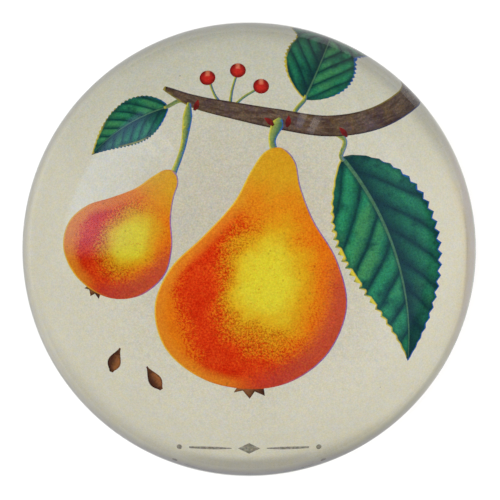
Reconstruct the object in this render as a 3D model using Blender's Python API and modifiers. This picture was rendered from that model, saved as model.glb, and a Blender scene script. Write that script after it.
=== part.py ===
"""A domed glass paperweight: a solid clear glass dome, a printed paper disc sealed under its flat base, and a felt
pad that it rests on. The origin is the centre of the pad's underside, and +Z is the dome's axis."""

import math

import bmesh
import bpy

# Driving dimensions, in metres
GLASS_DIAMETER = 0.089
GLASS_HEIGHT = 0.035
WALL_HEIGHT = 0.0145  # from the foot of the glass to its widest line
WALL_LEAN = math.radians(2.0)  # the wall draws in towards the foot, as it left the mould
SHOULDER_RADIUS = 0.006  # rounds the wall into the dome
FOOT_BEVEL = 0.0008  # ground edge round the flat base
PAPER_THICKNESS = 0.0003
FELT_THICKNESS = 0.0016
FELT_EDGE = 0.0004  # rounding of the felt's cut edge
PAPER_INSET = 0.0002  # how far the paper stops short of the ground edge
FELT_INSET = 0.0008
SEAT_GAP = 0.0003  # the layer of clear glue between two pieces

# Mesh fineness
ROUND_STEPS = 96
CAP_POINTS = 15
SHOULDER_POINTS = 7
BEVEL_POINTS = 3

# Levels and radii that follow from the dimensions
GLASS_RADIUS = GLASS_DIAMETER / 2
PAPER_BASE = FELT_THICKNESS + SEAT_GAP
GLASS_BASE = PAPER_BASE + PAPER_THICKNESS + SEAT_GAP
FOOT_RADIUS = GLASS_RADIUS - WALL_HEIGHT * math.tan(WALL_LEAN) - FOOT_BEVEL
PAPER_RADIUS = FOOT_RADIUS - PAPER_INSET
FELT_RADIUS = FOOT_RADIUS - FELT_INSET


def clear_scene():
    for obj in list(bpy.data.objects):
        bpy.data.objects.remove(obj, do_unlink=True)


def make_collection(name):
    collection = bpy.data.collections.new(name)
    bpy.context.scene.collection.children.link(collection)
    return collection


def make_material(name, color, roughness, transmission=0.0, ior=1.5):
    material = bpy.data.materials.new(name)
    material.use_nodes = True
    shader = material.node_tree.nodes["Principled BSDF"]
    shader.inputs["Base Color"].default_value = (*color, 1.0)
    shader.inputs["Roughness"].default_value = roughness
    shader.inputs["Metallic"].default_value = 0.0
    shader.inputs["Transmission Weight"].default_value = transmission
    shader.inputs["IOR"].default_value = ior
    return material


def arc(centre_r, centre_z, radius, start, end, points):
    """Points (r, z) on an arc, by the angle of the outward normal from straight up."""
    angles = [start + (end - start) * i / (points - 1) for i in range(points)]
    return [(centre_r + radius * math.sin(a), centre_z + radius * math.cos(a)) for a in angles]


def dome_profile():
    """The outline of the glass from the top of its axis down the outside to the centre of its base."""
    across = GLASS_RADIUS - SHOULDER_RADIUS
    rise = GLASS_HEIGHT - WALL_HEIGHT
    cap_radius = (across**2 + rise**2 - SHOULDER_RADIUS**2) / (2 * (rise - SHOULDER_RADIUS))
    cap_centre = GLASS_HEIGHT - cap_radius
    join_angle = math.atan2(across, WALL_HEIGHT - cap_centre)
    wall_angle = math.pi / 2 + WALL_LEAN
    foot_centre_r = FOOT_RADIUS - FOOT_BEVEL * math.tan(WALL_LEAN)

    points = arc(0.0, cap_centre, cap_radius, 0.0, join_angle, CAP_POINTS)
    points += arc(across, WALL_HEIGHT, SHOULDER_RADIUS, join_angle, wall_angle, SHOULDER_POINTS)[1:]
    points += arc(foot_centre_r, FOOT_BEVEL, FOOT_BEVEL, wall_angle, math.pi, BEVEL_POINTS)
    points.append((0.0, 0.0))
    return points


def turned_object(name, profile, base_height, material, collection):
    """A solid of revolution from a profile of (r, z) points that runs down its outer side."""
    mesh = bpy.data.meshes.new(name)
    mesh.from_pydata([(r, 0.0, z) for r, z in profile], [(i, i + 1) for i in range(len(profile) - 1)], [])
    mesh.materials.append(material)
    obj = bpy.data.objects.new(name, mesh)
    obj.location.z = base_height
    collection.objects.link(obj)
    screw = obj.modifiers.new("turn", "SCREW")
    screw.axis = "Z"
    screw.steps = ROUND_STEPS
    screw.render_steps = ROUND_STEPS
    screw.use_merge_vertices = True
    screw.merge_threshold = 0.00001
    screw.use_smooth_shade = True
    return obj


def disc_object(name, radius, thickness, base_height, material, collection):
    """A flat round plate, standing on base_height."""
    mesh = bpy.data.meshes.new(name)
    shape = bmesh.new()
    bmesh.ops.create_cone(
        shape, cap_ends=True, segments=ROUND_STEPS, radius1=radius, radius2=radius, depth=thickness
    )
    shape.to_mesh(mesh)
    shape.free()
    mesh.materials.append(material)
    obj = bpy.data.objects.new(name, mesh)
    obj.location.z = base_height + thickness / 2
    collection.objects.link(obj)
    return obj


def build_glass(collection):
    clear_glass = make_material("clear_glass", (0.97, 0.985, 0.975), 0.02, transmission=1.0, ior=1.52)
    return turned_object("glass_dome", dome_profile(), GLASS_BASE, clear_glass, collection)


def build_print(collection):
    """The picture lies face up against the glass, so its paper ends just inside the ground edge."""
    paper = make_material("printed_paper", (0.66, 0.62, 0.50), 0.75)
    return disc_object("paper_print", PAPER_RADIUS, PAPER_THICKNESS, PAPER_BASE, paper, collection)


def build_felt(collection):
    felt = make_material("felt", (0.025, 0.045, 0.032), 0.95)
    pad = disc_object("felt_pad", FELT_RADIUS, FELT_THICKNESS, 0.0, felt, collection)
    edge = pad.modifiers.new("soft_edge", "BEVEL")
    edge.width = FELT_EDGE
    edge.segments = 2
    edge.limit_method = "ANGLE"
    return pad


def main():
    clear_scene()
    paperweight = make_collection("paperweight")
    build_glass(paperweight)
    build_print(paperweight)
    build_felt(paperweight)


main()
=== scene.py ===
"""The looks of a domed glass paperweight: the polished glass, the botanical print seen through it and the
felt pad. Sizes in this file are in millimetres unless a comment says metres. The frame is in metres, so MM
turns one into the other. The print is a generic orchard plate of golden pears."""

import math
import random

import bpy
from mathutils import Matrix, Vector
from mathutils.geometry import delaunay_2d_cdt
from mathutils.kdtree import KDTree


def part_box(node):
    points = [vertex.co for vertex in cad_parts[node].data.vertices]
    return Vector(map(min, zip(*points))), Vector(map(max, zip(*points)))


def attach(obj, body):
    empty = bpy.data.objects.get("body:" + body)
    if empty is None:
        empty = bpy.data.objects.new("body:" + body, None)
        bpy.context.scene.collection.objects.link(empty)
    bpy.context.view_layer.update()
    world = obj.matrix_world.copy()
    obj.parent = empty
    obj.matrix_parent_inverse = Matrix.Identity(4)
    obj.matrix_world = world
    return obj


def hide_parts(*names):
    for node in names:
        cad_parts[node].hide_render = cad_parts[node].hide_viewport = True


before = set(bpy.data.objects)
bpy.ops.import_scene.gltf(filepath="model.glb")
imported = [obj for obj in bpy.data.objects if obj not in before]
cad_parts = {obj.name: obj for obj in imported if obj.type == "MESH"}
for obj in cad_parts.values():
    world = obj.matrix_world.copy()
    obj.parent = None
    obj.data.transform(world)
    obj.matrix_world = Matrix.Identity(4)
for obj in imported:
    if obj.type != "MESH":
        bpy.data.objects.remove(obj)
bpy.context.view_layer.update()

MM = 0.001

# The frame's own sizes, in millimetres
GLASS_LOW, GLASS_HIGH = (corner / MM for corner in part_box("glass_dome"))
PAPER_LOW, PAPER_HIGH = (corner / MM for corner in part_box("paper_print"))
_, FELT_HIGH = (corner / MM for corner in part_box("felt_pad"))
GLASS_RADIUS = 44.5
GLASS_BASE = GLASS_LOW.z
GLASS_HEIGHT = GLASS_HIGH.z - GLASS_LOW.z
PAPER_RADIUS = PAPER_HIGH.x
FELT_RADIUS = FELT_HIGH.x

# The turned shape of the glass, as in the solid
WALL_HEIGHT = 14.5
WALL_LEAN = math.radians(2.0)
SHOULDER_RADIUS = 6.0
FOOT_BEVEL = 0.8
FOOT_RADIUS = GLASS_RADIUS - WALL_HEIGHT * math.tan(WALL_LEAN) - FOOT_BEVEL
WIDEST = GLASS_BASE + WALL_HEIGHT

# Fineness of the turned glass
ROUND_STEPS = 256
CAP_POINTS = 90
SHOULDER_POINTS = 40
BEVEL_POINTS = 10
SHARP_FROM = math.radians(40)

# The camera looks straight down. The outline's circle in the 500 px frame gives its scale and place.
FRAME_PX = 500
CIRCLE_CENTRE_PX = (249.1, 249.2)
CIRCLE_RADIUS_PX = 226.8
CAMERA_DISTANCE = 800.0
SENSOR_WIDTH = 36.0
CLIP_START = 0.01  # metres


def albedo(red, green, blue):
    """A colour given in 0 to 255 screen values, as the linear values that shaders take."""
    def linear(value):
        share = value / 255
        return share / 12.92 if share <= 0.04045 else ((share + 0.055) / 1.055) ** 2.4
    return (linear(red), linear(green), linear(blue), 1.0)


def even(level):
    """A colour whose three channels are alike."""
    return (level, level, level, 1.0)


class Wiring:
    """Short calls for wiring a node tree. A value that is a socket is linked, and any other is set."""

    def __init__(self, tree):
        self.tree = tree

    def add(self, kind, inputs=None, **settings):
        node = self.tree.nodes.new(kind)
        for key, value in settings.items():
            setattr(node, key, value)
        for key, value in (inputs or {}).items():
            self.feed(node.inputs[key], value)
        return node

    def feed(self, socket, value):
        if isinstance(value, bpy.types.NodeSocket):
            self.tree.links.new(value, socket)
        else:
            socket.default_value = value

    def math(self, operation, first, second=0.0, third=0.0):
        return self.add("ShaderNodeMath", {0: first, 1: second, 2: third}, operation=operation).outputs[0]

    def times(self, first, second):
        return self.math("MULTIPLY", first, second)

    def plus(self, first, second):
        return self.math("ADD", first, second)

    def minus(self, first, second):
        return self.math("SUBTRACT", first, second)

    def vector_math(self, operation, *inputs):
        """All outputs: the vector comes first, and the number is named Value."""
        return self.add("ShaderNodeVectorMath", dict(enumerate(inputs)), operation=operation).outputs

    def rise(self, value, low, high):
        """0 below low, 1 above high, and smooth between. It falls where low is the larger."""
        inputs = {"Value": value, "From Min": low, "From Max": high}
        return self.add("ShaderNodeMapRange", inputs, interpolation_type="SMOOTHSTEP").outputs["Result"]

    def mix(self, factor, first, second, blend="MIX"):
        node = self.add("ShaderNodeMix", data_type="RGBA", blend_type=blend)
        self.feed(node.inputs[0], factor)
        self.feed(node.inputs[6], first)
        self.feed(node.inputs[7], second)
        return node.outputs[2]

    def tint(self, colour, cover, strength, ink):
        """Lays ink, given in screen values, over the colour as far as cover and strength say."""
        return self.mix(self.times(cover, strength), colour, albedo(*ink))

    def noise(self, place, size, detail=2.0, roughness=0.5, output="Fac"):
        """Cloudy noise whose blobs are about size millimetres across."""
        inputs = {"Vector": place, "Scale": 1.0 / size, "Detail": detail, "Roughness": roughness}
        return self.add("ShaderNodeTexNoise", inputs).outputs[output]

    def grains(self, place, size, seed=0.0):
        """Fine noise spread over the whole of 0 to 1, as the grains of a litho stone are."""
        moved = self.vector_math("ADD", place, (seed, seed, seed))[0]
        return self.rise(self.noise(moved, size, detail=2.0, roughness=0.8), 0.36, 0.64)

    def split(self, vector):
        return self.add("ShaderNodeSeparateXYZ", {0: vector}).outputs

    def dot(self, first, second):
        return self.vector_math("DOT_PRODUCT", first, second)["Value"]

    def stretched(self, place, factors):
        return self.vector_math("MULTIPLY", place, factors)[0]

    def place(self):
        """The point on the object, in millimetres."""
        point = self.add("ShaderNodeTexCoord").outputs["Object"]
        return self.stretched(point, (1 / MM, 1 / MM, 1 / MM))

    def stroke(self):
        """The point's place on its motif: along the motif's line, across it, and in from its outline."""
        return self.split(self.add("ShaderNodeAttribute", attribute_name="stroke").outputs["Vector"])


def new_material(name):
    """A material with its node tree, and the Principled shader in it."""
    material = bpy.data.materials.new(name)
    material.use_nodes = True
    wires = Wiring(material.node_tree)
    return material, wires, material.node_tree.nodes["Principled BSDF"]


def new_object(name, vertices, faces, materials):
    """A mesh object from points in millimetres."""
    mesh = bpy.data.meshes.new(name)
    mesh.from_pydata([Vector(v) * MM for v in vertices], [], faces)
    for material in materials:
        mesh.materials.append(material)
    obj = bpy.data.objects.new(name, mesh)
    bpy.context.scene.collection.objects.link(obj)
    return obj


def turned_mesh(name, profile, steps, material):
    """A solid turned about +Z from (r, z) points that run from its top, on the axis, down to its bottom."""
    vertices = [(0.0, 0.0, profile[0][1])]
    for radius, height in profile[1:-1]:
        for step in range(steps):
            angle = 2 * math.pi * step / steps
            vertices.append((radius * math.cos(angle), radius * math.sin(angle), height))
    vertices.append((0.0, 0.0, profile[-1][1]))
    last = len(vertices) - 1
    faces = [(0, 1 + i, 1 + (i + 1) % steps) for i in range(steps)]
    for ring in range(len(profile) - 3):
        upper = 1 + ring * steps
        lower = upper + steps
        for i in range(steps):
            j = (i + 1) % steps
            faces.append((upper + i, lower + i, lower + j, upper + j))
    bottom = last - steps
    faces += [(last, bottom + (i + 1) % steps, bottom + i) for i in range(steps)]
    return new_object(name, vertices, faces, [material])


# Camera, light and floor

FLOOR_HEIGHT = 0.03  # the felt sinks this far in, so the pad still shows from below
FLOOR_HALF = 3000.0
WINDOW_FACING = (-0.899, 0.438, 0.0)  # towards the window that the glass mirrors at the upper left
MIRRORED_LAMPS = [(134.0, 38.0), (128.0, 41.0), (68.0, 38.0), (62.5, 38.5)]  # degrees round from +X, and up
LAMP_HALF_WIDTHS = (0.028, 0.012)  # radians: the outside of a lamp's soft edge, and its inside
LAMP_HALF_HEIGHTS = (0.080, 0.035)


def make_camera():
    """The paperweight's widest line is what the outline in the photograph shows."""
    mm_per_px = GLASS_RADIUS / CIRCLE_RADIUS_PX
    data = bpy.data.cameras.new("camera")
    data.sensor_width = SENSOR_WIDTH
    data.lens = SENSOR_WIDTH * CAMERA_DISTANCE / (FRAME_PX * mm_per_px)
    data.clip_start = CLIP_START
    camera = bpy.data.objects.new("camera", data)
    right = (FRAME_PX / 2 - CIRCLE_CENTRE_PX[0]) * mm_per_px
    down = (FRAME_PX / 2 - CIRCLE_CENTRE_PX[1]) * mm_per_px
    camera.location = Vector((right, -down, WIDEST + CAMERA_DISTANCE)) * MM
    bpy.context.scene.collection.objects.link(camera)
    bpy.context.scene.camera = camera


def make_floor():
    """A white table that glows faintly, so that it stays white right up to the glass."""
    material, _, shader = new_material("white_floor")
    shader.inputs["Base Color"].default_value = even(0.64)
    shader.inputs["Roughness"].default_value = 1.0
    shader.inputs["Specular IOR Level"].default_value = 0.0
    shader.inputs["Emission Color"].default_value = even(1.0)
    shader.inputs["Emission Strength"].default_value = 0.37
    signs = ((-1, -1), (1, -1), (1, 1), (-1, 1))
    corners = [(x * FLOOR_HALF, y * FLOOR_HALF, FLOOR_HEIGHT) for x, y in signs]
    floor = new_object("floor", corners, [(0, 1, 2, 3)], [material])


def levelness(wires, up):
    """How level a direction is, squared. The extra thousandth keeps it above 0 straight up and down."""
    return wires.minus(1.001, wires.times(up, up))


def room_light(wires, direction):
    """The light of the room: bright overhead, softer half way down, low down brightest from the left, and
    even from below. The dome bends the low light across, so it falls on the far side of the print."""
    x, y, z = wires.split(direction)
    across = wires.math("DIVIDE", wires.times(x, x), levelness(wires, z))
    side = wires.mix(wires.rise(x, -0.3, 0.3), (4.10, 4.07, 4.02, 1.0), (2.16, 2.13, 2.08, 1.0))
    ends = wires.mix(wires.rise(y, -0.3, 0.3), even(0.68), even(1.10))
    low = wires.mix(across, ends, side)
    high = wires.mix(wires.rise(z, 0.75, 0.98), even(0.80), even(1.84))
    colour = wires.mix(wires.rise(z, 0.30, 0.75), low, high)
    return wires.mix(wires.rise(z, -0.02, -0.15), colour, even(1.0))


def lamp_gleam(wires, direction, turn, height):
    """1 on a small upright lamp that stands so many degrees round and up, and 0 beside it."""
    turn, height = math.radians(turn), math.radians(height)
    facing = Vector((math.cos(height) * math.cos(turn), math.cos(height) * math.sin(turn), math.sin(height)))
    sideways = Vector((-math.sin(turn), math.cos(turn), 0.0))
    upward = facing.cross(sideways)
    beside = wires.math("ABSOLUTE", wires.dot(direction, sideways))
    above = wires.math("ABSOLUTE", wires.dot(direction, upward))
    inside = wires.times(wires.rise(beside, *LAMP_HALF_WIDTHS), wires.rise(above, *LAMP_HALF_HEIGHTS))
    return wires.times(inside, wires.rise(wires.dot(direction, facing), 0.8, 0.9))


def mirrored_room(wires, direction):
    """What the polished glass mirrors: a dim room with a grey haze low down, a bluish window at the upper
    left, a fainter one on the right, and a few small lamps."""
    x, y, height = wires.split(direction)
    colour = wires.mix(wires.rise(height, 0.02, 0.34), (0.49, 0.475, 0.475, 1.0), (0.05, 0.05, 0.06, 1.0))
    level = wires.math("SQRT", levelness(wires, height))
    turn = wires.math("DIVIDE", wires.dot(direction, WINDOW_FACING), level)
    slanted = wires.math("MULTIPLY_ADD", y, -0.12, height)
    left_window = wires.times(wires.rise(turn, 0.86, 0.94), wires.rise(slanted, 0.295, 0.335))
    right_window = wires.times(wires.rise(x, 0.45, 0.75), wires.rise(height, 0.355, 0.405))
    window = wires.math("MAXIMUM", left_window, wires.times(right_window, 0.25))
    window = wires.times(window, wires.rise(height, 0.90, 0.45))
    colour = wires.mix(window, colour, (0.75, 1.20, 2.00, 1.0))
    for lamp in MIRRORED_LAMPS:
        colour = wires.mix(lamp_gleam(wires, direction, *lamp), colour, (1.35, 1.4, 1.55, 1.0))
    return colour


def make_light():
    """A plain pale room. The glass mirrors a darker one, as in a studio where only the light is white."""
    world = bpy.data.worlds.new("room")
    world.use_nodes = True
    bpy.context.scene.world = world
    bpy.context.scene.view_settings.view_transform = "Standard"
    wires = Wiring(world.node_tree)
    direction = wires.add("ShaderNodeTexCoord").outputs["Generated"]
    ray = wires.add("ShaderNodeLightPath").outputs
    mirrored = wires.times(ray["Is Reflection Ray"], ray["Is Glossy Ray"])
    colour = wires.mix(mirrored, room_light(wires, direction), mirrored_room(wires, direction))
    wires.feed(world.node_tree.nodes["Background"].inputs["Color"], colour)


# Glass

WINDOW_AXIS = Vector((0.951, -0.309, 0.0))  # the line between the room's two bright sides
WARM_SHADE_SIDE = Vector((0.707, -0.707, 0.0))  # towards the part of the shoulder's painted shade with a trace of yellow


def arc(centre_r, centre_z, radius, start, end, points):
    """Points (r, z) on an arc, by the angle of the outward normal from straight up."""
    angles = [start + (end - start) * i / (points - 1) for i in range(points)]
    return [(centre_r + radius * math.sin(a), centre_z + radius * math.cos(a)) for a in angles]


def glass_profile():
    across = GLASS_RADIUS - SHOULDER_RADIUS
    rise = GLASS_HEIGHT - WALL_HEIGHT
    cap_radius = (across**2 + rise**2 - SHOULDER_RADIUS**2) / (2 * (rise - SHOULDER_RADIUS))
    cap_centre = GLASS_BASE + GLASS_HEIGHT - cap_radius
    join_angle = math.atan2(across, WIDEST - cap_centre)
    wall_angle = math.pi / 2 + WALL_LEAN
    foot_centre_r = FOOT_RADIUS - FOOT_BEVEL * math.tan(WALL_LEAN)
    points = arc(0.0, cap_centre, cap_radius, 0.0, join_angle, CAP_POINTS)
    points += arc(across, WIDEST, SHOULDER_RADIUS, join_angle, wall_angle, SHOULDER_POINTS)[1:]
    points += arc(foot_centre_r, GLASS_BASE + FOOT_BEVEL, FOOT_BEVEL, wall_angle, math.pi, BEVEL_POINTS)
    points.append((0.0, GLASS_BASE))
    return points


def painted_rim_shade(wires, x, y, above, start):
    """How deep the painted shade in the shoulder is, from 0 to 1: a grey tint that darkens the rim. Its main
    band begins at the height start and deepens downward to end, in millimetres above the widest line. x and y
    are shares of the radius."""
    front = wires.rise(y, -0.45, -0.95)
    foremost = wires.rise(y, -0.84, -0.94)

    end = wires.plus(2.2, wires.times(x, 1.3))
    end = wires.math("MULTIPLY_ADD", wires.rise(x, 0.925, 0.96), 0.85, end)
    band = wires.times(wires.rise(above, start, end), wires.plus(0.39, wires.times(front, 0.15)))

    rim = wires.times(wires.rise(above, 4.4, 2.0), wires.math("MULTIPLY_ADD", front, 0.08, 0.12))
    leftward = wires.math("MULTIPLY_ADD", wires.rise(x, 0.95, 0.5), 0.75, 0.25)
    edge = wires.times(wires.rise(above, 2.6, 1.5), leftward)
    rim = wires.math("MULTIPLY_ADD", edge, wires.math("MULTIPLY_ADD", front, 0.07, 0.18), rim)
    back_left = wires.times(wires.rise(y, -0.45, 0.1), wires.rise(x, 0.75, 0.25))
    back_left = wires.times(back_left, wires.rise(above, 4.5, 3.2))
    rim = wires.math("MULTIPLY_ADD", back_left, 0.055, rim)

    front_band = wires.times(wires.rise(above, 6.75, 5.1), foremost)
    shade = wires.math("MAXIMUM", wires.plus(band, rim), wires.times(front_band, 0.36))
    front_ring = wires.times(wires.rise(above, 4.7, 4.1), foremost)
    shade = wires.math("MULTIPLY_ADD", front_ring, 0.08, shade)
    return wires.times(shade, wires.rise(above, -3.0, 0.0))


def glass_material():
    """Clear glass with painted shade in its shoulder, a grey tint that darkens the rim. The painted shade is
    a sharp crescent on the right, a little violet, with a warm painted line above it. In front it is deepest,
    on the left it is soft and low, and at the lower right it has a trace of ochre."""
    material, wires, shader = new_material("clear_glass")
    place = wires.place()
    x, y, z = wires.split(wires.stretched(place, (1 / GLASS_RADIUS, 1 / GLASS_RADIUS, 1.0)))
    above = wires.minus(z, WIDEST)
    right = wires.rise(x, 0.82, 0.96)
    to_window = wires.math("ABSOLUTE", wires.dot(place, WINDOW_AXIS / GLASS_RADIUS))
    start = wires.minus(7.0, wires.times(wires.rise(to_window, 0.5, 1.0), 2.3))
    shade = painted_rim_shade(wires, x, y, above, start)

    # Painted shade, as a tint on the light that the glass lets through
    clear = wires.minus(1.0, shade)
    clear = wires.times(clear, clear)
    grey = wires.mix(right, (0.0, 0.0, 0.03, 1.0), (0.05, 0.0, 0.09, 1.0))
    grey = wires.mix(wires.rise(above, 2.6, 1.9), grey, even(0.0))
    colour = wires.mix(clear, grey, even(1.0))

    # A warm painted line just above the painted crescent of shade on the right
    into = wires.minus(start, above)
    line = wires.times(wires.rise(into, -0.6, 0.3), wires.rise(into, 1.4, 0.6))
    colour = wires.mix(wires.times(line, right), colour, (1.0, 0.91, 0.74, 1.0), "MULTIPLY")

    # A trace of ochre in the painted shade at the lower right
    ochre = wires.rise(wires.dot(place, WARM_SHADE_SIDE / GLASS_RADIUS), 0.84, 0.94)
    ochre = wires.times(ochre, wires.rise(shade, 0.0, 0.35))
    colour = wires.mix(ochre, colour, (1.0, 0.99, 0.84, 1.0), "MULTIPLY")
    wires.feed(shader.inputs["Base Color"], colour)
    shader.inputs["Roughness"].default_value = 0.0
    shader.inputs["IOR"].default_value = 1.52
    shader.inputs["Transmission Weight"].default_value = 1.0
    return material


def make_glass():
    glass = turned_mesh("dome", glass_profile(), ROUND_STEPS, glass_material())
    glass.data.shade_smooth()
    glass.data.set_sharp_from_angle(angle=SHARP_FROM)
    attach(glass, "root")
    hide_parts("glass_dome")


# Print: outlines. Each point below is in millimetres on the paper, +X to the right and +Y to the top.

PEAR_OUTLINE = [
    (0.5, -15.6), (7.4, -13.9), (13.0, -9.0), (15.6, -1.4), (13.6, 6.2), (9.6, 12.4),
    (7.3, 17.8), (6.3, 22.0), (4.0, 24.2), (1.2, 23.4), (-1.0, 20.0), (-3.6, 14.8),
    (-8.4, 9.2), (-13.4, 4.0), (-15.9, -2.6), (-13.8, -9.6), (-7.4, -14.3),
]
PEAR_AXIS = [(0.5, -15.6), (3.6, 24.0)]
PEAR_UNIT = 15.8  # a pear's half width, which its places are told in
CURVE_SPANS = 8  # straight pieces between two given points of a smooth line
CALYX_OUTLINE = [
    (-1.7, -14.9), (-2.5, -16.3), (-1.0, -15.9), (0.2, -17.3),
    (1.0, -16.0), (2.7, -16.7), (2.4, -15.0), (0.5, -14.6),
]

LARGE_PEAR = {"scale": 1.0, "tilt": -2.0, "centre": (0.5, -7.5)}
SMALL_PEAR = {"scale": 0.6, "tilt": -30.0, "centre": (-21.4, 1.2)}

TWIG = [
    (32.6, 31.2), (26.8, 25.4), (20.6, 21.8), (13.0, 20.4),
    (5.0, 21.4), (-3.0, 23.0), (-9.2, 24.6), (-14.4, 27.2),
]
TWIG_WIDTHS = [2.2, 2.1, 1.95, 1.8, 1.75, 1.45, 1.15, 0.35]

LEAVES = [
    {"base": (15.2, 15.2), "turn": -50.0, "length": 37.0, "half_width": 9.2, "bend": -42.0},
    {"base": (-13.4, 23.8), "turn": -166.0, "length": 15.6, "half_width": 4.2, "bend": 34.0},
    {"base": (9.2, 24.9), "turn": 65.0, "length": 19.0, "half_width": 6.4, "bend": 7.0},
]
LEAF_TEETH = 24
TOOTH_DEPTH = 0.022  # as a share of the leaf's length
LEAF_SKEW = 0.75  # below 1, the leaf is widest before its middle

LEAF_STALKS = [
    {"line": [(13.4, 19.8), (15.8, 18.0), (15.1, 15.4), (15.6, 14.5)], "widths": [0.6, 0.42, 0.4, 0.25]},
    {"line": [(-9.8, 24.6), (-11.6, 24.8), (-13.4, 23.9), (-14.2, 23.6)], "widths": [0.5, 0.38, 0.35, 0.22]},
    {"line": [(7.4, 20.8), (7.6, 22.8), (9.1, 24.7), (9.5, 25.7)], "widths": [0.55, 0.38, 0.36, 0.22]},
]
BERRY_STALK_WIDTHS = [0.34, 0.24, 0.22]
BERRY_STALK_LINES = [
    [(-3.8, 23.2), (-5.6, 25.4), (-6.6, 28.0)],
    [(-3.2, 23.0), (-2.9, 26.2), (-2.2, 29.0)],
    [(-3.2, 22.8), (-1.2, 25.0), (1.2, 26.6)],
]
PEAR_STALKS = [
    {"line": [(4.2, 15.6), (3.8, 18.2), (5.2, 21.6)], "widths": [0.85, 0.62, 0.58, 0.75, 1.05, 0.3]},
    {"line": [(-12.8, 11.4), (-10.8, 17.0), (-10.0, 24.4)], "widths": [0.65, 0.5, 0.45, 0.55, 0.85, 0.25]},
]
BUD_LENGTH = 2.0
BUDS = [
    {"base": (6.2, 20.1), "turn": 70.0},
    {"base": (4.0, 20.3), "turn": 128.0},
    {"base": (-9.1, 23.0), "turn": 62.0},
    {"base": (16.2, 18.6), "turn": 118.0},
]
BERRIES = [(-7.0, 28.8), (-1.9, 30.1), (2.0, 27.2)]
BERRY_RADIUS = 1.35
PIP_LENGTH = 4.6
PIPS = [
    {"base": (-21.5, -16.5), "turn": -118.0},
    {"base": (-17.0, -19.5), "turn": -64.0},
]
RULE_Y = -34.0
RULE_HALF_WIDTHS = [0.08, 0.25, 0.25, 0.18]
RULE_REACH = (3.0, 10.3)
RULE_STEPS = 12
LOZENGE = (1.9, 1.05)
DOT_PLACES = (-12.0, 12.0)
DOT_RADIUS = 0.48
DOT_STEPS = 12


class Motif:
    """One printed area: its outline, the line it runs along, and the length that its places are told in."""

    def __init__(self, kind, outline, axis, unit):
        self.kind = kind
        self.outline = [Vector(point) for point in outline]
        if signed_area(self.outline) < 0:
            self.outline.reverse()
        self.axis = [Vector(point) for point in axis]
        self.unit = unit


def signed_area(points):
    return sum(a.x * b.y - b.x * a.y for a, b in zip(points, points[1:] + points[:1])) / 2


def smooth_line(points, closed=False):
    """A Catmull-Rom curve through the points."""
    points = [Vector(point) for point in points]
    count = len(points)
    pieces = count if closed else count - 1

    def point_at(index):
        return points[index % count] if closed else points[max(0, min(count - 1, index))]

    line = []
    for i in range(pieces):
        before, start, end, after = (point_at(i + k) for k in (-1, 0, 1, 2))
        for step in range(CURVE_SPANS):
            t = step / CURVE_SPANS
            line.append(0.5 * (
                2 * start + (end - before) * t
                + (2 * before - 5 * start + 4 * end - after) * t**2
                + (3 * start - before - 3 * end + after) * t**3
            ))
    if not closed:
        line.append(points[-1])
    return line


def normals_of(line):
    """The direction to the left of the line at each of its points."""
    sides = []
    for i in range(len(line)):
        ahead = line[min(i + 1, len(line) - 1)] - line[max(i - 1, 0)]
        ahead.normalize()
        sides.append(Vector((-ahead.y, ahead.x)))
    return sides


def ribbon(line, widths):
    """The outline of a stroke along the line, whose half widths are given at even steps along it."""
    sides = normals_of(line)
    left, right = [], []
    for i, (point, side) in enumerate(zip(line, sides)):
        place = i / (len(line) - 1) * (len(widths) - 1)
        low = min(int(place), len(widths) - 2)
        half = widths[low] + (widths[low + 1] - widths[low]) * (place - low)
        left.append(point + side * half)
        right.append(point - side * half)
    return left + right[::-1]


def circle(centre, radius, steps=20):
    angles = [2 * math.pi * i / steps for i in range(steps)]
    return [(centre[0] + radius * math.cos(a), centre[1] + radius * math.sin(a)) for a in angles]


def pear(scale, tilt, centre):
    """A pear, and the dry calyx that shows below it."""
    turn = Matrix.Rotation(math.radians(tilt), 2)

    def placed(points):
        return [turn @ (Vector(point) * scale) + Vector(centre) for point in points]

    outline = placed(smooth_line(PEAR_OUTLINE, closed=True))
    axis = placed(PEAR_AXIS)
    return [
        Motif("pip", placed(CALYX_OUTLINE), axis, PEAR_UNIT * scale),
        Motif("pear", outline, axis, PEAR_UNIT * scale),
    ]


def bent_line(base, turn, length, bend, steps):
    """A line of even curvature that leaves base at turn degrees and bends by so many more."""
    line = [Vector(base)]
    for i in range(steps):
        angle = math.radians(turn + bend * (i + 0.5) / steps)
        line.append(line[-1] + Vector((math.cos(angle), math.sin(angle))) * (length / steps))
    return line


def leaf(base, turn, length, half_width, bend):
    """An oval leaf, widest before its middle and drawn out to a point, with fine teeth on both sides."""
    steps = LEAF_TEETH * 2
    midrib = bent_line(base, turn, length, bend, steps)
    sides = normals_of(midrib)
    left, right = [], []
    for i in range(1, steps):
        share = i / steps
        half = half_width * math.sin(math.pi * share**LEAF_SKEW)
        if i % 2 == 0:
            half -= TOOTH_DEPTH * length * math.sin(math.pi * share)
        left.append(midrib[i] + sides[i] * half)
        right.append(midrib[i] - sides[i] * half)
    outline = [midrib[0]] + right + [midrib[-1]] + left[::-1]
    return Motif("leaf", outline, midrib, length)


def stalk(line, widths):
    line = smooth_line(line)
    return Motif("stalk", ribbon(line, widths), line, widths[0])


def twig():
    line = smooth_line(TWIG)
    return Motif("twig", ribbon(line, TWIG_WIDTHS), line, TWIG_WIDTHS[0])


def berry(centre):
    axis = [(centre[0], centre[1] - BERRY_RADIUS), (centre[0], centre[1] + BERRY_RADIUS)]
    return Motif("berry", circle(centre, BERRY_RADIUS), axis, BERRY_RADIUS)


def swelling(start, middle, least, end, skew, steps):
    """Half widths that swell from start and draw in to end. Above 1, skew moves the widest place onward."""
    swell = [middle * math.sin(math.pi * (i / steps) ** skew) + least for i in range(1, steps)]
    return [start] + swell + [end]


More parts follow.
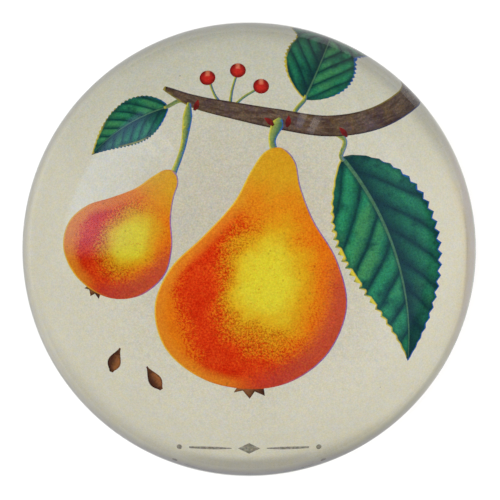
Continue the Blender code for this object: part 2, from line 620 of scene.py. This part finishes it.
def bud(base, turn):
    """A small red scale where a stalk leaves the twig."""
    line = bent_line(base, turn, BUD_LENGTH, bend=20.0, steps=8)
    widths = swelling(start=0.2, middle=0.42, least=0.05, end=0.06, skew=0.8, steps=8)
    return Motif("bud", ribbon(line, widths), line, BUD_LENGTH)


def pip(base, turn):
    line = bent_line(base, turn, PIP_LENGTH, bend=10.0, steps=12)
    widths = swelling(start=0.15, middle=1.05, least=0.1, end=0.3, skew=1.4, steps=12)
    return Motif("pip", ribbon(line, widths), line, PIP_LENGTH)


def ornament():
    """A thin rule on each side of a lozenge, with a dot at each end."""
    motifs = []
    near, far = RULE_REACH
    for side in (-1, 1):
        reaches = [near + (far - near) * i / RULE_STEPS for i in range(RULE_STEPS + 1)]
        line = [Vector((side * reach, RULE_Y)) for reach in reaches]
        motifs.append(Motif("ink", ribbon(line, RULE_HALF_WIDTHS), line, 1.0))
    wide, high = LOZENGE
    lozenge = [(-wide, RULE_Y), (0.0, RULE_Y - high), (wide, RULE_Y), (0.0, RULE_Y + high)]
    motifs.append(Motif("ink", lozenge, [(-wide, RULE_Y), (wide, RULE_Y)], 1.0))
    for x in DOT_PLACES:
        dot = circle((x, RULE_Y), DOT_RADIUS, DOT_STEPS)
        motifs.append(Motif("ink", dot, [(x - 1, RULE_Y), (x + 1, RULE_Y)], 1.0))
    return motifs


def plate():
    """Everything that is printed, from the lowest layer to the highest."""
    motifs = [leaf(**shape) for shape in LEAVES]
    motifs += [stalk(**shape) for shape in LEAF_STALKS]
    motifs += [stalk(line, BERRY_STALK_WIDTHS) for line in BERRY_STALK_LINES]
    motifs += [twig()]
    motifs += [stalk(**shape) for shape in PEAR_STALKS]
    motifs += pear(**SMALL_PEAR) + pear(**LARGE_PEAR)
    motifs += [bud(**shape) for shape in BUDS]
    motifs += [berry(centre) for centre in BERRIES]
    motifs += [pip(**shape) for shape in PIPS]
    return motifs + ornament()


# Print: the sheet. One flat mesh is cut along every printed outline, so each area has its own material.

GRID_STEP = 0.9
GRID_JITTER = 0.16
CLEAR_OF_LINES = 0.3
RIM_STEPS = 192
PRINT_TOP = GLASS_BASE + 0.005  # a hair inside the glass, as glue leaves no air between them


def grid_points(keep_off):
    """Loosely even points over the disc, clear of the outlines, so that the triangles are alike in size."""
    draw = random.Random(4)
    points = []
    rows = int(PAPER_RADIUS / GRID_STEP)
    for row in range(-rows, rows + 1):
        for column in range(-rows, rows + 1):
            x = (column + 0.5 * (row % 2)) * GRID_STEP + draw.uniform(-GRID_JITTER, GRID_JITTER)
            y = row * GRID_STEP + draw.uniform(-GRID_JITTER, GRID_JITTER)
            near = keep_off.find((x, y, 0.0))[2]
            if math.hypot(x, y) < PAPER_RADIUS - CLEAR_OF_LINES and near > CLEAR_OF_LINES:
                points.append(Vector((x, y)))
    return points


def tree_of(points):
    tree = KDTree(len(points))
    for i, point in enumerate(points):
        tree.insert((point.x, point.y, 0.0), i)
    tree.balance()
    return tree


def close_points(outline, step=0.12):
    """Points along a closed outline, no further apart than step, and how far the outline faces +X at each."""
    points, facings = [], []
    for start, end in zip(outline, outline[1:] + outline[:1]):
        reach = end - start
        count = max(1, math.ceil(reach.length / step))
        points += [start.lerp(end, i / count) for i in range(count)]
        facings += [reach.y / max(reach.length, 1e-6)] * count
    return points, facings


def along_and_across(point, line):
    """How far along the line the point lies, and how far to its left."""
    best, travelled = None, 0.0
    last = len(line) - 2
    for i, (start, end) in enumerate(zip(line, line[1:])):
        reach = end - start
        length = reach.length
        share = (point - start).dot(reach) / length**2
        share = max(0.0 if i else -9.0, min(1.0 if i < last else 9.0, share))
        offset = point - (start + reach * share)
        if best is None or offset.length < best[0]:
            side = 1.0 if reach.cross(offset) > 0 else -1.0
            best = (offset.length, travelled + share * length, side)
        travelled += length
    return best[1], best[0] * best[2]


def stroke_place(motif, point):
    """Where a point is on its motif: along its line, across it and in from its outline. Then the facing of
    the outline nearest to it."""
    along, across = along_and_across(point, motif.axis)
    _, nearest, inward = motif.edge.find((point.x, point.y, 0.0))
    return (along / motif.unit, across / motif.unit, inward), motif.facings[nearest]


def cut_sheet(motifs):
    """Triangulates the disc along all outlines, and cuts off what runs out past it. Gives the points, the
    triangles and the topmost motif of each."""
    rim = [Vector(point) for point in circle((0.0, 0.0), PAPER_RADIUS, RIM_STEPS)]
    points, faces, edges = list(rim), [list(range(RIM_STEPS))], []
    for motif in motifs:
        first = len(points)
        points += motif.outline
        faces.append(list(range(first, len(points))))
        if motif.kind == "leaf":
            first = len(points)
            points += motif.axis
            edges += [(i, i + 1) for i in range(first, len(points) - 1)]
    lines = [point for motif in motifs for point in close_points(motif.outline)[0]]
    points += grid_points(tree_of(lines))
    found, _, triangles, _, _, sources = delaunay_2d_cdt(points, edges, faces, 1, 1e-5)
    kept = [(triangle, max(source)) for triangle, source in zip(triangles, sources) if 0 in source]
    used = sorted({corner for triangle, _ in kept for corner in triangle})
    number = {old: new for new, old in enumerate(used)}
    triangles = [[number[corner] for corner in triangle] for triangle, _ in kept]
    return [found[old] for old in used], triangles, [top for _, top in kept]


def under_side(vertices, triangles):
    """The faces that close the cut sheet, a side and a back. Their points are added to vertices."""
    edges = [edge for triangle in triangles for edge in zip(triangle, triangle[1:] + triangle[:1])]
    known = set(edges)
    rim = [(start, end) for start, end in edges if (end, start) not in known]
    below = {}
    for start, _ in rim:
        below[start] = len(vertices)
        vertices.append((vertices[start][0], vertices[start][1], PAPER_LOW.z))
    middle = len(vertices)
    vertices.append((0.0, 0.0, PAPER_LOW.z))
    sides = [(start, below[start], below[end], end) for start, end in rim]
    back = [(below[end], below[start], middle) for start, end in rim]
    return sides + back


def print_sheet(motifs, materials):
    """The sheet as a closed thin disc: the cut top, a plain side and a plain back."""
    for motif in motifs:
        points, motif.facings = close_points(motif.outline)
        motif.edge = tree_of(points)
    found, triangles, tops = cut_sheet(motifs)
    kinds = list(materials)
    slots = [kinds.index(motifs[top - 1].kind) if top else kinds.index("paper") for top in tops]
    nowhere = ((0.0, 0.0, 0.0), 0.0)
    places = []
    for triangle, top in zip(triangles, tops):
        for corner in triangle:
            places.append(stroke_place(motifs[top - 1], found[corner]) if top else nowhere)

    vertices = [(point.x, point.y, PRINT_TOP) for point in found]
    plain = under_side(vertices, triangles)
    faces = [tuple(triangle) for triangle in triangles] + plain
    sheet = new_object("botanical_print", vertices, faces, materials.values())
    slots += [kinds.index("card")] * len(plain)
    sheet.data.polygons.foreach_set("material_index", slots)
    places += [nowhere] * (len(sheet.data.loops) - len(places))
    stroke = sheet.data.attributes.new("stroke", "FLOAT_VECTOR", "CORNER")
    stroke.data.foreach_set("vector", [value for place, _ in places for value in place])
    facing = sheet.data.attributes.new("facing", "FLOAT", "CORNER")
    facing.data.foreach_set("value", [turn for _, turn in places])
    return sheet


# Print: inks. Each kind of printed area has its own painted look, from a function that takes the wiring and
# the place on the sheet, and gives a colour.

# How strongly the grain over every ink shows, and its size in millimetres: a fine grain, and a coarser one
GRAIN_LAYERS = [(0.156, 0.27), (0.04, 1.1)]


def painted_glass_fringes(wires, colour, fringe_strength):
    """Painted colour fringes that stand in for light split by the glass: yellow on edges that face left, and
    blue on edges that face right.
    """
    inward = wires.stroke()["Z"]
    facing = wires.add("ShaderNodeAttribute", attribute_name="facing").outputs["Fac"]
    yellow = wires.times(wires.rise(inward, 0.34, 0.10), wires.rise(facing, -0.15, -0.8))
    blue = wires.times(wires.rise(inward, 0.26, 0.10), wires.rise(facing, 0.15, 0.8))
    colour = wires.tint(colour, yellow, fringe_strength, (234, 214, 60))
    return wires.tint(colour, blue, fringe_strength, (30, 96, 196))


def speckle(wires, place, size):
    """Bright and dark grain that strays more towards blue and yellow than towards red and green. Red and blue
    each share in green's noise, and the last three numbers bring every channel's mean back to a half."""
    red, green, blue = wires.split(wires.noise(place, size, detail=1.0, output="Color"))
    red = wires.math("MULTIPLY_ADD", green, 0.87, wires.times(red, 0.65))
    blue = wires.math("MULTIPLY_ADD", green, 0.6, wires.times(blue, 0.9))
    grain = wires.add("ShaderNodeCombineXYZ", {0: red, 1: green, 2: blue}).outputs[0]
    return wires.vector_math("MULTIPLY_ADD", grain, (4.0, 3.6, 4.0), (-2.54, -1.3, -2.5))[0]


def printed(name, colour_of, fringe_strength=0.0):
    """A matt printed material, without gloss of its own because glue and glass cover it. colour_of gives its
    colour, and the paper's tooth and grain lie over it."""
    material, wires, shader = new_material(name)
    place = wires.place()
    colour = colour_of(wires, place)
    # Painted colour fringes of light split by the glass, along the motifs' edges
    if fringe_strength > 0:
        colour = painted_glass_fringes(wires, colour, fringe_strength)
    for strength, size in GRAIN_LAYERS:
        colour = wires.mix(strength, colour, speckle(wires, place, size), "SOFT_LIGHT")
    wires.feed(shader.inputs["Base Color"], colour)
    shader.inputs["Roughness"].default_value = 0.7
    shader.inputs["Specular IOR Level"].default_value = 0.0
    height = wires.noise(place, 0.3)
    tooth = wires.add("ShaderNodeBump", {"Height": height, "Strength": 0.15, "Distance": 0.05 * MM})
    wires.feed(shader.inputs["Normal"], tooth.outputs["Normal"])
    return material


def paper_colour(wires, place):
    """Aged cream paper with painted light that makes it palest near its rim, and painted shade that makes it
    duller towards its top. Over that lie faint broad stains, a fine mottle of cool and warm, fibres and a
    few specks."""
    # Painted light: the paper grows paler from the middle out to its rim
    from_middle = wires.vector_math("LENGTH", place)["Value"]
    colour = wires.mix(wires.rise(from_middle, 6.0, 42.0), albedo(195, 190, 172), albedo(238, 235, 214))
    # Painted shade: the paper is duller towards the top
    toward_top = wires.rise(wires.split(place)["Y"], 4.0, 36.0)
    colour = wires.mix(toward_top, colour, (0.85, 0.88, 0.89, 1.0), "MULTIPLY")
    stain = wires.rise(wires.noise(place, 14.0, detail=3.0), 0.3, 0.7)
    colour = wires.mix(wires.times(stain, 0.5), colour, (0.94, 0.935, 0.93, 1.0), "MULTIPLY")
    cool = wires.rise(wires.noise(wires.stretched(place, (-1.0, 1.0, 1.0)), 1.3), 0.32, 0.68)
    tone = wires.mix(cool, (1.01, 1.0, 0.95, 1.0), (0.99, 1.0, 1.05, 1.0))
    colour = wires.mix(1.0, colour, tone, "MULTIPLY")
    fibres = wires.rise(wires.noise(wires.stretched(place, (1.0, 0.22, 1.0)), 0.5, detail=3.0), 0.68, 0.80)
    colour = wires.tint(colour, fibres, 0.25, (196, 186, 158))
    spots = wires.add("ShaderNodeTexVoronoi", {"Vector": place, "Scale": 0.16, "Randomness": 1.0})
    here_and_there = wires.rise(wires.noise(place, 9.0), 0.45, 0.55)
    speck = wires.times(wires.rise(spots.outputs["Distance"], 0.028, 0.014), here_and_there)
    return wires.tint(colour, speck, 0.6, (120, 108, 92))


def pear_colour(wires, place):
    """Golden skin: a yellow light in the middle, a grainy red blush round it, and a reddish shade at the
    lower right. The blush is dense at the left and below, and stops short of a paler edge."""
    along, across, inward = wires.stroke()
    below = wires.minus(1.12, along)
    wide = wires.math("DIVIDE", wires.plus(across, 0.04), 0.60)
    tall = wires.math("DIVIDE", below, 0.86)
    far = wires.math("SQRT", wires.plus(wires.times(wide, wide), wires.times(tall, tall)))
    cloud = wires.times(wires.minus(wires.noise(place, 4.0, detail=1.0), 0.5), 0.45)
    far = wires.plus(far, cloud)
    grain = wires.grains(place, 0.36)
    second_grain = wires.grains(place, 0.34, seed=41.0)

    # Yellow light, then gold, then orange
    colour = wires.mix(wires.rise(far, 0.28, 0.66), albedo(216, 202, 48), albedo(214, 160, 22))
    colour = wires.mix(wires.rise(far, 0.58, 1.05), colour, albedo(222, 118, 12))

    # The red blush, broken up by grain
    lean = wires.plus(across, wires.times(below, 0.42))
    dense = wires.plus(wires.times(wires.rise(lean, -0.55, 0.45), 0.75), 0.25)
    band = wires.times(wires.rise(far, 0.44, 1.20), wires.rise(far, 1.80, 1.20))
    blush = wires.times(wires.times(dense, band), wires.rise(along, 2.3, 1.6))
    patch = wires.minus(wires.noise(place, 2.4, detail=3.0), 0.5)
    spread = wires.plus(wires.minus(grain, 0.5), wires.times(patch, 0.8))
    cover = wires.rise(wires.math("MULTIPLY_ADD", spread, 0.62, blush), 0.12, 0.82)
    rough = wires.math("MULTIPLY_ADD", patch, 1.6, second_grain)
    red = wires.mix(rough, albedo(216, 66, 16), albedo(196, 30, 0))
    colour = wires.mix(cover, colour, red)

    # Dark grain close round the light
    inner = wires.times(wires.rise(far, 0.40, 0.66), wires.rise(far, 1.25, 0.75))
    inner = wires.times(inner, wires.rise(lean, -0.75, 0.2))
    inner = wires.plus(inner, wires.minus(second_grain, 1.0))
    dark = wires.times(wires.rise(inner, 0.35, 0.80), 0.50)
    colour = wires.mix(dark, colour, albedo(150, 44, 0))

    # The shade at the lower right
    corner = wires.minus(wires.times(below, 0.55), across)
    shade = wires.times(wires.rise(corner, 0.15, 1.05), wires.rise(inward, 7.0, 0.5))
    shade = wires.plus(shade, wires.times(wires.minus(second_grain, 0.5), 0.25))
    colour = wires.tint(colour, wires.rise(shade, 0.1, 0.9), 0.8, (180, 62, 50))

    # The paler edge on the left, and the plainer neck
    edge = wires.times(wires.rise(inward, 2.6, 0.6), wires.rise(across, -0.1, 0.35))
    colour = wires.tint(colour, edge, 0.75, (222, 134, 34))
    neck = wires.rise(wires.plus(along, cloud), 1.7, 2.3)
    colour = wires.tint(colour, neck, 0.65, (204, 170, 34))

    # Freckles, and a thin dark outline
    dots = wires.add("ShaderNodeTexVoronoi", {"Vector": place, "Scale": 0.62, "Randomness": 1.0})
    freckle = wires.rise(dots.outputs["Distance"], 0.16, 0.07)
    colour = wires.tint(colour, freckle, 0.35, (140, 70, 20))
    return wires.tint(colour, wires.rise(inward, 0.35, 0.0), 0.45, (186, 80, 28))


def leaf_colour(wires, place):
    """Soft bluish green, lit between the side veins and creased along them, with a fine pale rib and a dark
    edge. The half to the left of the rib is the shady one."""
    along, across, inward = wires.stroke()
    off = wires.math("ABSOLUTE", across)
    shady = wires.math("GREATER_THAN", across, 0.0)
    phase = wires.minus(wires.times(along, 7.0), wires.times(off, 8.0))
    phase = wires.plus(phase, wires.times(shady, 0.45))
    wander = wires.minus(wires.noise(place, 5.0, detail=1.0), 0.5)
    phase = wires.math("MULTIPLY_ADD", wander, 0.30, phase)
    panel = wires.math("FRACT", phase)
    blot = wires.noise(place, 2.6, detail=3.0, roughness=0.55)
    grain = wires.grains(place, 0.36, seed=23.0)

    # Lit panels between the side veins
    lit = wires.times(wires.rise(panel, 0.0, 0.30), wires.rise(panel, 1.05, 0.45))
    lit = wires.times(lit, wires.rise(blot, 0.20, 0.55))
    lit = wires.times(lit, wires.math("MULTIPLY_ADD", shady, -0.3, 1.0))
    colour = wires.mix(wires.rise(blot, 0.3, 0.7), albedo(20, 62, 62), albedo(24, 80, 70))
    colour = wires.mix(lit, colour, albedo(44, 140, 96))
    glow = wires.times(wires.rise(wires.noise(place, 6.0, detail=2.0), 0.46, 0.66), lit)
    colour = wires.tint(colour, glow, 0.45, (90, 156, 84))
    colour = wires.tint(colour, grain, 0.28, (14, 60, 62))

    # Creases along the veins, then the shaded middle and the rib
    vein = wires.math("PINGPONG", phase, 0.5)
    crease = wires.times(wires.rise(vein, 0.10, 0.02), wires.rise(inward, 0.2, 1.6))
    colour = wires.tint(colour, crease, 0.55, (12, 46, 54))
    tapered = wires.math("MULTIPLY_ADD", along, 0.007, off)
    reach = wires.math("MULTIPLY_ADD", shady, 0.12, 0.03)
    shaded = wires.minus(1.0, wires.math("DIVIDE", tapered, reach))
    colour = wires.mix(wires.rise(shaded, 0.0, 1.1), colour, albedo(20, 52, 60))
    rib = wires.rise(tapered, 0.0105, 0.0065)
    colour = wires.tint(colour, rib, 0.5, (100, 152, 106))
    return wires.tint(colour, wires.rise(inward, 1.0, 0.1), 0.55, (16, 54, 60))


def twig_colour(wires, place):
    """Grey-brown bark, darker at both edges, with long streaks and a mottle of violet and ochre."""
    along, across, inward = wires.stroke()
    bark = wires.add("ShaderNodeCombineXYZ", {0: wires.times(along, 0.22), 1: across, 2: 0.0}).outputs[0]
    streak = wires.rise(wires.noise(bark, 0.3, detail=4.0, roughness=0.65), 0.34, 0.66)
    colour = wires.mix(streak, albedo(74, 56, 46), albedo(120, 100, 82))
    ochre = wires.rise(wires.noise(place, 2.0, detail=3.0), 0.50, 0.68)
    colour = wires.tint(colour, ochre, 0.45, (128, 102, 58))
    moved = wires.stretched(place, (1.0, -1.0, 1.0))
    violet = wires.rise(wires.noise(moved, 1.7, detail=3.0), 0.52, 0.68)
    colour = wires.tint(colour, violet, 0.4, (88, 72, 90))
    pits = wires.times(wires.grains(place, 0.4, seed=7.0), 0.35)
    colour = wires.mix(pits, colour, albedo(62, 46, 44))
    under = wires.rise(across, 0.2, 1.0)
    colour = wires.tint(colour, under, 0.45, (54, 44, 50))
    return wires.tint(colour, wires.rise(inward, 0.4, 0.0), 0.75, (42, 32, 32))


def stalk_colour(wires, place):
    across = wires.stroke()["Y"]
    colour = wires.mix(wires.rise(across, -0.8, 0.8), albedo(56, 106, 92), albedo(158, 172, 82))
    return wires.tint(colour, wires.noise(place, 0.8), 0.4, (96, 112, 52))


def berry_colour(wires, place):
    along, across, inward = wires.stroke()
    colour = wires.mix(wires.rise(inward, 0.8, 0.0), albedo(206, 44, 34), albedo(120, 24, 22))
    gleam = wires.times(wires.rise(along, 1.1, 1.4), wires.rise(wires.math("ABSOLUTE", across), 0.4, 0.1))
    return wires.tint(colour, gleam, 0.6, (240, 150, 110))


def bud_colour(wires, place):
    along, _, inward = wires.stroke()
    colour = wires.mix(wires.rise(along, 0.2, 0.9), albedo(112, 34, 30), albedo(186, 48, 42))
    return wires.tint(colour, wires.rise(inward, 0.2, 0.0), 0.6, (66, 22, 24))


def pip_colour(wires, place):
    _, across, inward = wires.stroke()
    colour = wires.mix(wires.rise(across, -0.15, 0.15), albedo(74, 44, 32), albedo(146, 92, 54))
    return wires.tint(colour, wires.rise(inward, 0.35, 0.0), 0.6, (52, 30, 24))


def ink_colour(wires, place):
    worn = wires.noise(place, 0.5, detail=2.0)
    return wires.mix(wires.rise(worn, 0.35, 0.75), albedo(128, 124, 112), albedo(178, 174, 156))


def card_colour(wires, place):
    return wires.mix(wires.noise(place, 1.2), albedo(206, 198, 172), albedo(184, 174, 146))


def make_print():
    materials = {
        "paper": printed("aged_paper", paper_colour),
        "pear": printed("golden_pear", pear_colour, fringe_strength=0.65),
        "leaf": printed("toothed_leaf", leaf_colour, fringe_strength=0.8),
        "twig": printed("brown_twig", twig_colour, fringe_strength=0.4),
        "stalk": printed("green_stalk", stalk_colour, fringe_strength=0.65),
        "berry": printed("red_berry", berry_colour),
        "bud": printed("red_bud", bud_colour),
        "pip": printed("brown_pip", pip_colour),
        "ink": printed("grey_ink", ink_colour),
        "card": printed("paper_back", card_colour),
    }
    sheet = print_sheet(plate(), materials)
    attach(sheet, "root")
    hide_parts("paper_print")


# Felt pad

FELT_ROUNDING = 0.55
FELT_STEPS = 600
FELT_EDGE_POINTS = 6  # for each half of the rounded edge
FRAY = 0.05  # how far the cut edge strays


def felt_material():
    """Dark green wool felt: matted fibres, a few pale hairs, and a soft sheen."""
    material, wires, shader = new_material("green_felt")
    place = wires.place()
    swirl = wires.noise(place, 2.4, detail=2.0, output="Color")
    bent = wires.vector_math("MULTIPLY_ADD", swirl, (5.0, 5.0, 5.0), place)[0]
    mat = wires.noise(bent, 0.6, detail=4.0, roughness=0.65)
    patch = wires.rise(wires.noise(place, 6.0, detail=3.0), 0.3, 0.7)
    colour = wires.mix(wires.rise(mat, 0.3, 0.7), albedo(18, 40, 30), albedo(50, 82, 62))
    colour = wires.tint(colour, patch, 0.4, (30, 54, 36))
    hairs = wires.noise(wires.stretched(bent, (1.0, 0.2, 1.0)), 0.5, detail=2.0, roughness=0.5)
    cross_hairs = wires.noise(wires.stretched(bent, (0.2, 1.0, 1.0)), 0.5, detail=2.0, roughness=0.5)
    pale = wires.math("MAXIMUM", wires.rise(hairs, 0.62, 0.70), wires.rise(cross_hairs, 0.62, 0.70))
    colour = wires.tint(colour, pale, 0.4, (86, 116, 92))
    wires.feed(shader.inputs["Base Color"], colour)
    shader.inputs["Roughness"].default_value = 0.95
    shader.inputs["Specular IOR Level"].default_value = 0.15
    shader.inputs["Sheen Weight"].default_value = 0.35
    shader.inputs["Sheen Roughness"].default_value = 0.5
    shader.inputs["Sheen Tint"].default_value = (0.55, 0.75, 0.62, 1.0)
    height = wires.plus(mat, wires.times(pale, 0.4))
    bump = wires.add("ShaderNodeBump", {"Height": height, "Strength": 0.9, "Distance": 0.25 * MM})
    wires.feed(shader.inputs["Normal"], bump.outputs["Normal"])
    return material


def make_felt():
    """The pad under the paper. Its cut edge is rounded and a little frayed, and it lies on the floor."""
    top = PAPER_LOW.z
    side = FELT_RADIUS - FELT_ROUNDING - 2 * FRAY
    profile = [(0.0, top), (side * 0.5, top)]
    profile += arc(side, top - FELT_ROUNDING, FELT_ROUNDING, 0.0, math.pi / 2, FELT_EDGE_POINTS)
    profile += arc(side, FELT_ROUNDING, FELT_ROUNDING, math.pi / 2, math.pi, FELT_EDGE_POINTS)
    profile += [(side * 0.5, 0.0), (0.0, 0.0)]
    felt = turned_mesh("felt_base", profile, FELT_STEPS, felt_material())
    draw = random.Random(11)
    for vertex in felt.data.vertices:
        reach = vertex.co.xy.length / MM
        if reach > side:
            stray = 1 + draw.gauss(0.0, FRAY / 2) / reach
            vertex.co.x *= stray
            vertex.co.y *= stray
    felt.data.shade_smooth()
    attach(felt, "root")
    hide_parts("felt_pad")


make_camera()
make_floor()
make_light()
make_glass()
make_print()
make_felt()
